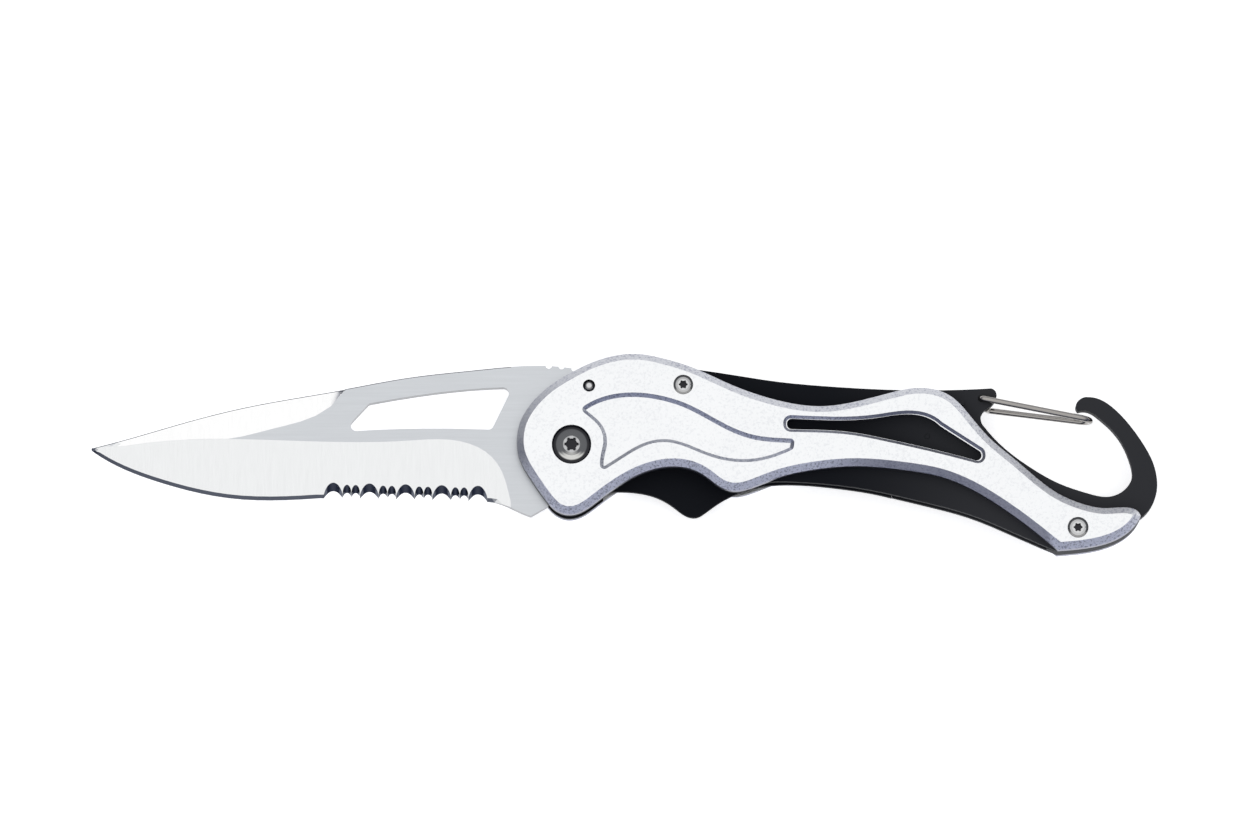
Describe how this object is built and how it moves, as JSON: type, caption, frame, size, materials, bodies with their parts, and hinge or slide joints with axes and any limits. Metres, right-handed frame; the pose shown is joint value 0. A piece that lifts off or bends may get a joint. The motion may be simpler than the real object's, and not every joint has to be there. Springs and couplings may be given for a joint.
{
  "type": "folding rigging knife",
  "caption": "Folding knife with a part-serrated, windowed blade, chamfered metal scales and a wire-gate carabiner hook at the tail.",
  "frame": {"origin": "middle of the knife's outline, on the surface that it rests on", "axes": "+X from the blade tip to the hook, +Y towards the spine, +Z out of the front scale"},
  "size_m": [0.1996, 0.0372, 0.0113],
  "materials": {
    "blade_steel": "satin ground, darker at the cutting bevel",
    "scale_alloy": "bead blasted, chamfered edges",
    "black_plate": "black satin coating",
    "lock_spring": "black satin coating",
    "gate_steel": "polished wire",
    "screw_steel": "blackened, polished dome",
    "pin_steel": "turned",
    "washer_bronze": "satin"
  },
  "bodies": {
    "handle": {"front_scale": "scale_alloy", "rear_scale": "scale_alloy", "front_liner": "black_plate", "rear_liner": "black_plate", "hook_plate": "black_plate", "pivot_barrel": "screw_steel", "pivot_screw": "screw_steel", "front_washer": "washer_bronze", "rear_washer": "washer_bronze", "stop_pin": "pin_steel", "neck_standoff": "pin_steel", "tail_standoff": "pin_steel", "front_neck_screw": "screw_steel", "front_tail_screw": "screw_steel", "rear_neck_screw": "screw_steel", "rear_tail_screw": "screw_steel", "spacer_dowels": "pin_steel"},
    "blade": {"blade": "blade_steel"},
    "gate": {"gate_wire": "gate_steel"},
    "lock": {"lock_bar": "lock_spring", "detent_ball": "pin_steel"}
  },
  "joints": [
    {"name": "blade_fold", "type": "hinge", "parent": "handle", "child": "blade", "pos_m": [-0.00984, 0.00122, 0.00555], "axis": [0, 0, 1], "range_deg": [0, 172.5]},
    {"name": "gate_open", "type": "hinge", "parent": "handle", "child": "gate", "pos_m": [0.06696, 0.01052, 0.00555], "axis": [0, 0, -1], "range_deg": [0, 25], "stiffness_Nm_per_rad": 0.02},
    {"name": "lock_release", "type": "hinge", "parent": "handle", "child": "lock", "pos_m": [0.05016, -0.00378, 0.0036], "axis": [0, -1, 0], "range_deg": [0, 0.9], "stiffness_Nm_per_rad": 2}
  ]
}
